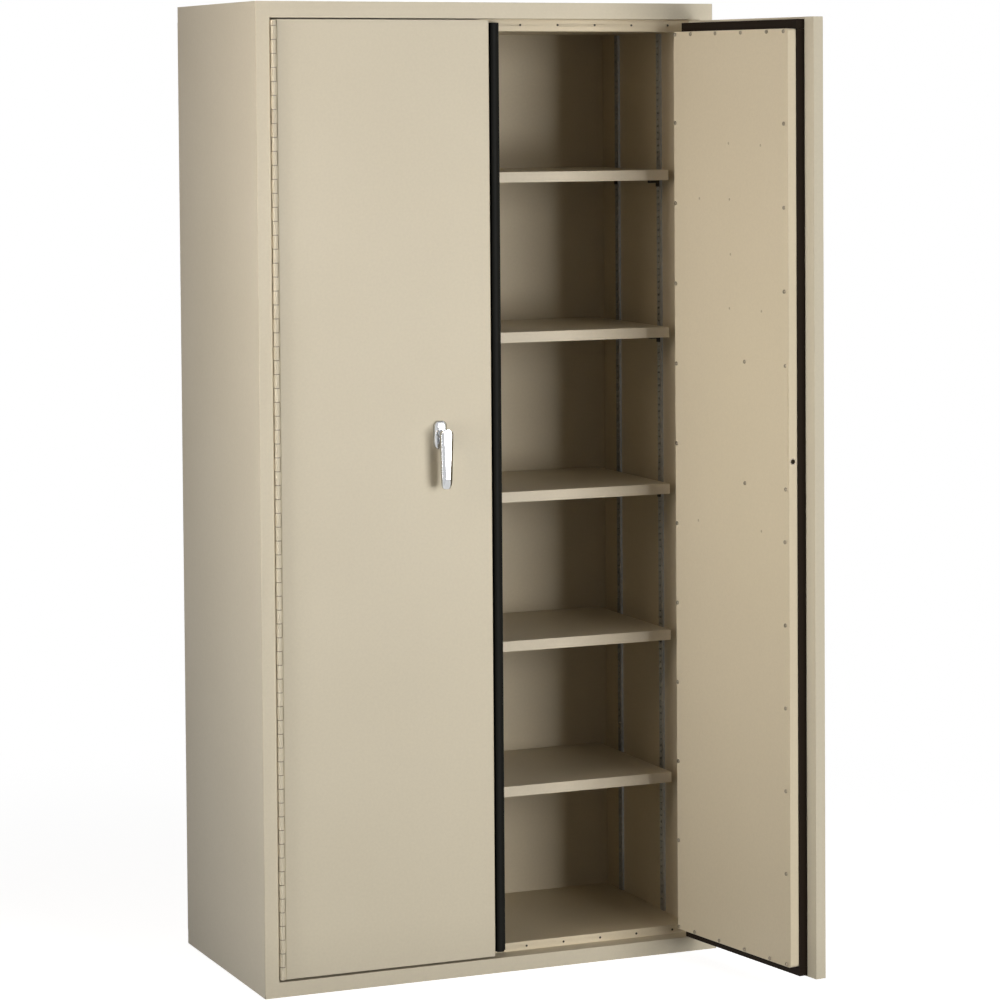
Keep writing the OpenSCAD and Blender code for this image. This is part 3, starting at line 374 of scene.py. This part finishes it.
# Only the knuckles, close around a pin, have joints: the leaves' flat parts have none
either = add(tree, "ShaderNodeVectorMath", {0: place}, operation="ABSOLUTE")
from_pin = add(tree, "ShaderNodeVectorMath", {0: either.outputs[0], 1: (AXIS.x, -AXIS.y, 0)},
               operation="SUBTRACT")
across = add(tree, "ShaderNodeVectorMath", {0: from_pin.outputs[0], 1: (1, 1, 0)},
             operation="MULTIPLY")
reach = add(tree, "ShaderNodeVectorMath", {0: across.outputs[0]}, operation="LENGTH")
rolled = add(tree, "ShaderNodeMath", {0: reach.outputs["Value"], 1: KNUCKLE_REACH},
             operation="LESS_THAN")
knuckle_gap_shade = add(tree, "ShaderNodeMath", {0: joint.outputs[0], 1: rolled.outputs[0]},
             operation="MULTIPLY")
# Painted shade: the knuckles' colour is mixed toward dark brown at each joint
shaded_knuckles = add(tree, "ShaderNodeMix", {"Factor": knuckle_gap_shade.outputs[0], "A": clean,
                                   "B": linear("#5d5140")}, data_type="RGBA")
tree.links.new(shaded_knuckles.outputs[2], paint.inputs["Base Color"])
finish(["left_hinge_frame_leaf", "right_hinge_frame_leaf", "left_hinge_door_leaf",
        "right_hinge_door_leaf"], hinge_enamel)
finish(["hinge_pins"], zinc)


# Doors
# Each door is a folded outer slab, a pan behind it that is filled with insulation, and a
# cover plate over the lock or the strike. Zinc-plated screws hold the pan and the plate.

skins = ["left_door_skin", "right_door_skin"]
finish(skins, body_enamel)
fold(skins, 0.0005)
covers = ["lock_cover", "strike_cover"]
finish(["left_door_liner", "right_door_liner"] + covers, lining_enamel)
fold(["left_door_liner", "right_door_liner"], 0.0004)
fold(covers, 0.0003)

OPEN = radians(98.5)
# The pans' faces, and the cover plates' faces 1 mm above them
PLUG_FACE = 0.060
COVER_FACE = 0.061
# A screw that reaches further than this past the pan's face holds a cover plate
COVER_REACH = 0.0024
# Head across and high, shank across and long
PAN_SCREW = (0.0074, 0.0019, 0.0034, 0.007)
# Turns a shape made upright so that its top faces out of a plug
inwards = Matrix.Rotation(radians(-90), 4, "X")
in_left_door = Matrix.Translation((-AXIS.x, AXIS.y, 0))
in_right_door = Matrix.Translation(AXIS) @ Matrix.Rotation(OPEN, 4, "Z") @ \
    Matrix.Scale(-1, 4, (1, 0, 0))

# Zinc passivated dull: a grey-beige with a little shine
passivated_steel = metal("passivated_screw_steel", "#a79d8c", "#8d8474", 0.45, 0.004)


def liner_screws(name, body, node, door):
    """The screws of a door's pan and cover plate, heads out of the plug."""
    mesh = bmesh.new()
    back = door.inverted()
    for low, high in solids(node):
        corners = [back @ Vector((x, y, z)) for x in (low.x, high.x) for y in (low.y, high.y)
                   for z in (low.z, high.z)]
        middle = back @ ((low + high) / 2)
        # The door's own turn lengthens the box of a round head a little
        proud = max(c.y for c in corners) - PLUG_FACE
        seat = COVER_FACE if proud > COVER_REACH else PLUG_FACE
        screw(mesh, door @ Matrix.Translation((middle.x, seat, middle.z)) @ inwards,
              *PAN_SCREW)
    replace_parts(piece(name, body, passivated_steel, mesh), node)


liner_screws("left_pan_screws", "left_door", "left_liner_screws", in_left_door)
liner_screws("right_pan_screws", "right_door", "right_liner_screws", in_right_door)

# Spot welds fix a stiffener behind the right pan: shallow dimples 5 mm across
mesh = bmesh.new()
for x, z in ((0.1945, 1.5643), (0.3002, 1.5616), (0.0954, 1.4597), (0.1971, 1.4601),
             (0.1996, 1.3577), (0.1955, 1.2567), (0.3014, 1.2562), (0.0867, 0.8489),
             (0.2986, 0.8491)):
    place = in_right_door @ Matrix.Translation((x, PLUG_FACE, z)) @ inwards
    turned(mesh, [(0.0026, 0.00005), (0.0022, 0.0003), (0.0012, 0.0002), (0, 0.0001)], place)
# Painted shade: the dimples' enamel is drawn darker than the lining's, for the shade in them
piece("spot_weld_marks", "right_door",
      baked_enamel("spot_weld_enamel_with_painted_shade", "#b3a68c", "#a89b82"), mesh)


# Seals
# Extruded rubber, glued to the slabs: a black angle seal with a rounded bead along the
# gap between the doors, and strips above and below the plugs and at the right one's edge.

def rubber(name, colour, pale, rough):
    """Extruded synthetic rubber: dark, satin, with fine lines along its length."""
    made, tree, place, output = material(name)
    # Die lines 0.4 mm apart in life, drawn at 2.5 mm
    drawn = add(tree, "ShaderNodeMapping", {"Vector": place, "Scale": (400, 400, 6)})
    lines = add(tree, "ShaderNodeTexNoise", {"Vector": drawn.outputs[0], "Scale": 1.0})
    mixed = add(tree, "ShaderNodeMix", {"Factor": lines.outputs["Fac"], "A": linear(colour),
                                        "B": linear(pale)}, data_type="RGBA")
    relief = add(tree, "ShaderNodeBump", {"Height": lines.outputs["Fac"], "Strength": 0.15,
                                          "Distance": 0.0003})
    skin = add(tree, "ShaderNodeBsdfPrincipled",
               {"Base Color": mixed.outputs[2], "Roughness": rough, "IOR": 1.52,
                "Specular IOR Level": 0.06, "Normal": relief.outputs[0]})
    tree.links.new(skin.outputs[0], output.inputs["Surface"])
    return made


finish(["centre_seal"], rubber("extruded_black_rubber", "#11110f", "#1a1a17", 0.5))
# The strips' compound is browner, and duller where its bloom has come to the surface
finish(["left_door_seals", "right_door_seals"],
       rubber("extruded_brown_rubber", "#17100a", "#21180f", 0.6))


# Lock work and bolts
# Zinc-plated case, pinion, racks and rods inside the left door, guided by moulded
# acetal bushes, and the steel bush in the right door's edge that the side bolt enters.

finish(["lock_case", "spindle", "drive_pinion", "top_bolt", "bottom_bolt", "side_bolt"], zinc)
finish(["strike_bush"], passivated_steel)


def moulded_acetal(name):
    """Injection-moulded acetal: black, low gloss, slightly mottled by the mould."""
    made, tree, place, output = material(name)
    mottle = add(tree, "ShaderNodeTexNoise", {"Vector": place, "Scale": 1 / 0.003})
    mixed = add(tree, "ShaderNodeMix", {"Factor": mottle.outputs["Fac"],
                                        "A": linear("#232220"), "B": linear("#2c2b28")},
                data_type="RGBA")
    plastic = add(tree, "ShaderNodeBsdfPrincipled",
                  {"Base Color": mixed.outputs[2], "Roughness": 0.5, "IOR": 1.48})
    tree.links.new(plastic.outputs[0], output.inputs["Surface"])
    return made


finish(["rod_guides"], moulded_acetal("moulded_black_acetal"))


# Escutcheon
# Plate behind the lever, die cast in zinc alloy with a rounded shoulder, polished and
# chromium plated. A stepped collar stands on it, and the lock barrel comes through.

def chromium(name):
    """Polished chromium plate: a grey mirror, with soft buffing marks."""
    made, tree, place, output = material(name)
    # Buffing marks 0.1 mm apart in life, drawn at 1 mm
    buff = add(tree, "ShaderNodeTexNoise", {"Vector": place, "Scale": 1 / 0.001, "Detail": 2})
    gloss = add(tree, "ShaderNodeMapRange", {"Value": buff.outputs["Fac"], "To Min": 0.07,
                                             "To Max": 0.13})
    mixed = add(tree, "ShaderNodeMix", {"Factor": buff.outputs["Fac"], "A": linear("#c9cacb"),
                                        "B": linear("#bfc1c3")}, data_type="RGBA")
    skin = add(tree, "ShaderNodeBsdfPrincipled",
               {"Base Color": mixed.outputs[2], "Metallic": 1.0,
                "Roughness": gloss.outputs[0]})
    tree.links.new(skin.outputs[0], output.inputs["Surface"])
    return made


chrome = chromium("polished_chromium_plate")
finish(["lock_barrel", "lock_plug"], chrome)

# The lever's axis where it leaves the door
HANDLE = Vector((-0.107, FRONT_Y, 1.028))
# The plate's half width, lower and upper end, corner radius and thickness
HALF, LOW, HIGH, CORNER = 0.0127, -0.030, 0.0236, 0.010
PLATE_T = 0.008


def rounded(half, low, high, radius, steps=8):
    """Points of an upright rectangle with round corners, about the handle's axis."""
    points = []
    for k, (x, z) in enumerate(((half, high), (-half, high), (-half, low), (half, low))):
        centre = Vector((x - radius if x > 0 else x + radius,
                         z - radius if z > 0 else z + radius))
        for i in range(steps + 1):
            turn = pi / 2 * (k + i / steps)
            points.append(centre + radius * Vector((cos(turn), sin(turn))))
    return points


mesh = bmesh.new()
rings = []
# Inset and height of the plate's rounded shoulder and crowned face
for inset, rise in ((0, 0), (0, 0.0040), (0, 0.0046), (0.0003, 0.0058), (0.0010, 0.0069),
                    (0.0020, 0.0075), (0.0034, 0.0080), (0.0052, 0.0085), (0.0072, 0.0088)):
    rings.append([mesh.verts.new(HANDLE + Vector((p.x, -rise, p.y)))
                  for p in rounded(HALF - inset, LOW + inset, HIGH - inset,
                                   CORNER - inset)])
for near, far in zip(rings, rings[1:]):
    for i in range(len(near)):
        j = (i + 1) % len(near)
        mesh.faces.new((near[i], near[j], far[j], far[i]))
mesh.faces.new(rings[-1])
# The collar's steps, as radius and height
turned(mesh, [(0.0105, 0), (0.0105, 0.0009), (0.0101, 0.0013), (0.0093, 0.0014),
              (0.0092, 0.0022), (0.0088, 0.0028), (0.0078, 0.0030), (0.0050, 0.0030)],
       Matrix.Translation(HANDLE - Vector((0, PLATE_T, 0))) @ forwards, 48)
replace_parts(piece("cast_escutcheon", "left_door", chrome, mesh, 25),
            "escutcheon")


# Lever
# Handle die cast in zinc alloy and chromium plated: a flat front facet that narrows
# downwards, sloped flanks, and an end cut back at a slant. It hangs on a round neck.

# The front stands 44 mm out of the door, and the neck starts inside the collar
FRONT = HANDLE - Vector((0, 0.044, 0))
NECK = HANDLE - Vector((0, 0.0113, 0))

mesh = bmesh.new()
# Millimetres: height from the axis, half width, half width of the front facet, set-back
# of the front, thickness
slices = [(9.8 * cos(radians(a)), 12 * sin(radians(a)), 7.2 * sin(radians(a)), 0, 15)
          for a in (10, 22, 36, 50, 64, 78)]
slices += [(0, 12, 7.2, 0, 15), (-24, 11.5, 6.2, 0, 15), (-54, 10.8, 5.0, 0, 15),
           (-82.4, 10.2, 4.0, 0, 15), (-84, 10.1, 4.4, 0.6, 15),
           (-90, 9.8, 5.6, 2.8, 15), (-96, 9.0, 5.6, 5.0, 15),
           (-99.6, 7.6, 4.8, 6.4, 15), (-101.8, 5.2, 3.2, 7.2, 15)]
rings = []
for z, wide, front, back, thick in slices:
    # The flanks slope 41 degrees, so the right one mirrors the inside of the cabinet
    slope = (wide - front) * 0.87
    outline = [(-wide + 1.5, thick), (-wide, thick - 2.5), (-wide, back + slope),
               (-front, back), (front, back), (wide, back + slope), (wide, thick - 2.5),
               (wide - 1.5, thick)]
    rings.append([mesh.verts.new(FRONT + Vector((x, y, z)) / 1000) for x, y in outline])
for near, far in zip(rings, rings[1:]):
    for i in range(8):
        mesh.faces.new((near[i], near[(i + 1) % 8], far[(i + 1) % 8], far[i]))
mesh.faces.new(rings[0])
mesh.faces.new(rings[-1])
turned(mesh, [(0, 0), (0.0075, 0), (0.0075, 0.0150), (0.0080, 0.0170), (0.0092, 0.0187)],
       Matrix.Translation(NECK) @ forwards, 32)
lever = piece("cast_lever", "lever", chrome, mesh, 16)
edge = lever.modifiers.new("polished_edges", "BEVEL")
edge.width = 0.0008
edge.segments = 3
edge.limit_method = "ANGLE"
edge.angle_limit = radians(25)
edge.harden_normals = True
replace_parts(lever, "lever_handle")


# Studio camera
# At the photograph's viewing angle, fitted to the outer corners of the cabinet.

pan, tilt, roll = radians(24.6), radians(2.73), radians(-0.277)
ahead = Vector((sin(pan) * cos(tilt), cos(pan) * cos(tilt), -sin(tilt)))
right = Vector((cos(pan), -sin(pan), 0))
above = right.cross(ahead)
right, above = cos(roll) * right + sin(roll) * above, cos(roll) * above - sin(roll) * right
lens = bpy.data.cameras.new("studio_camera")
lens.sensor_width = 36
lens.lens = 129.35
lens.shift_x = -0.186
lens.shift_y = -0.235
lens.clip_end = 200
camera = bpy.data.objects.new("studio_camera", lens)
camera.matrix_world = Matrix.Translation((-2.465, -6.5, 1.657)) @ \
    Matrix((right, above, -ahead)).transposed().to_4x4()
bpy.context.scene.collection.objects.link(camera)
bpy.context.scene.camera = camera


# Studio floor
# A plain matt white floor that keeps the object's shadow near it and runs into the white
# surroundings further out, without a line between them.

def seen_directly(tree):
    """1 for rays that show the studio itself: from the camera, off metal, through glass."""
    ray = add(tree, "ShaderNodeLightPath")
    seen = add(tree, "ShaderNodeMath", {0: ray.outputs["Is Camera Ray"],
                                        1: ray.outputs["Is Glossy Ray"]}, operation="MAXIMUM")
    return add(tree, "ShaderNodeMath", {0: seen.outputs[0],
                                        1: ray.outputs["Is Transmission Ray"]},
               operation="MAXIMUM").outputs[0]


made, tree, place, output = material("matt_white_studio_floor")
# Light that the floor sends back onto the object
matt = add(tree, "ShaderNodeBsdfDiffuse", {"Color": linear("#808080")})
pale = add(tree, "ShaderNodeBsdfDiffuse", {"Color": linear("#d0d0d0")})
lift = add(tree, "ShaderNodeEmission", {"Color": linear("#ffffff"), "Strength": 0.86})
near = add(tree, "ShaderNodeAddShader", {0: pale.outputs[0], 1: lift.outputs[0]})
away = add(tree, "ShaderNodeVectorMath", {0: place}, operation="LENGTH")
far = add(tree, "ShaderNodeMapRange", {"Value": away.outputs["Value"], "From Min": 0.8,
                                       "From Max": 2.4}, interpolation_type="SMOOTHSTEP")
white = add(tree, "ShaderNodeEmission", {"Color": linear("#ffffff"), "Strength": 1.0})
shown = add(tree, "ShaderNodeMixShader", {0: far.outputs[0], 1: near.outputs[0],
                                          2: white.outputs[0]})
floor_mix = add(tree, "ShaderNodeMixShader", {0: seen_directly(tree), 1: matt.outputs[0],
                                              2: shown.outputs[0]})
tree.links.new(floor_mix.outputs[0], output.inputs["Surface"])
mesh = bmesh.new()
bmesh.ops.create_grid(mesh, x_segments=8, y_segments=8, size=40)
data = bpy.data.meshes.new("studio_floor")
mesh.to_mesh(data)
mesh.free()
data.materials.append(made)
floor = bpy.data.objects.new("studio_floor", data)
floor.location.z = -0.0005
bpy.context.scene.collection.objects.link(floor)


# Studio cards
# Two matt black cards, at the left and overhead, that only reflections see. They give the
# chromium plate dark edges, as the unlit parts of a real studio do.

made, tree, place, output = material("matt_black_card")
fibre = add(tree, "ShaderNodeTexNoise", {"Vector": place, "Scale": 1 / 0.05})
black = add(tree, "ShaderNodeMix", {"Factor": fibre.outputs["Fac"], "A": linear("#101010"),
                                    "B": linear("#161616")}, data_type="RGBA")
card = add(tree, "ShaderNodeBsdfDiffuse", {"Color": black.outputs[2]})
tree.links.new(card.outputs[0], output.inputs["Surface"])
for name, corners in (("left_card", [(-3.9, -1.4, 0), (-3.9, 1.6, 0), (-3.9, 1.6, 2.6),
                                     (-3.9, -1.4, 2.6)]),
                      ("top_card", [(-1.5, -2.6, 3.6), (1.5, -2.6, 3.6), (1.5, -0.6, 3.6),
                                    (-1.5, -0.6, 3.6)])):
    data = bpy.data.meshes.new(name)
    data.from_pydata(corners, [], [(0, 1, 2, 3)])
    data.materials.append(made)
    held = bpy.data.objects.new(name, data)
    held.visible_camera = held.visible_diffuse = held.visible_shadow = False
    bpy.context.scene.collection.objects.link(held)


# Studio light
# White surroundings, two soft boxes in front and to the right, where the open door shades
# the right end of the shelves, and two weak ones at the left.

world = bpy.data.worlds.new("studio")
bpy.context.scene.world = world
world.use_nodes = True
tree = world.node_tree
tree.nodes.clear()
towards = add(tree, "ShaderNodeSeparateXYZ",
              {"Vector": add(tree, "ShaderNodeTexCoord").outputs["Generated"]})
behind = add(tree, "ShaderNodeMapRange", {"Value": towards.outputs["Y"], "From Min": 0.3,
                                          "From Max": 0.9, "To Min": 0.1, "To Max": 0.35})
fill = add(tree, "ShaderNodeBackground", {"Color": linear("#ffffff"),
                                          "Strength": behind.outputs[0]})
white = add(tree, "ShaderNodeBackground", {"Color": linear("#ffffff"), "Strength": 1.0})
mix = add(tree, "ShaderNodeMixShader", {0: seen_directly(tree), 1: fill.outputs[0],
                                        2: white.outputs[0]})
add(tree, "ShaderNodeOutputWorld", {"Surface": mix.outputs[0]})


def soft_box(name, place, target, wide, high, watts, colour="#ffffff", grid=180):
    """A soft box: an area lamp turned to a point. A grid narrows its beam, in degrees."""
    made = bpy.data.lights.new(name, "AREA")
    made.shape = "RECTANGLE"
    made.size = wide
    made.size_y = high
    made.energy = watts
    made.color = linear(colour)[:3]
    made.spread = radians(grid)
    held = bpy.data.objects.new(name, made)
    aim = Vector(target) - Vector(place)
    held.matrix_world = Matrix.Translation(place) @ \
        aim.to_track_quat("-Z", "Y").to_matrix().to_4x4()
    bpy.context.scene.collection.objects.link(held)


soft_box("low_front_soft_box", (2.0, -6.2, 0.45), (0, -0.2, 0.8), 2.35, 1.3, 215)
soft_box("high_front_soft_box", (2.0, -6.2, 2.3), (0, -0.2, 1.1), 2.35, 1.1, 103)
# Slightly warm, as light that has come off the room
soft_box("left_soft_box", (-1.7, -0.9, 1.95), (-0.4, 0, 1.5), 0.7, 0.7, 7, "#ffead6")
# The grid keeps most of this light off the side panel and on the open door's inner face
soft_box("gridded_left_box", (-3.4, -0.9, 1.0), (0.36, -0.7, 1.0), 0.7, 2.6, 10.8, grid=50)

bpy.context.scene.view_settings.view_transform = "Standard"
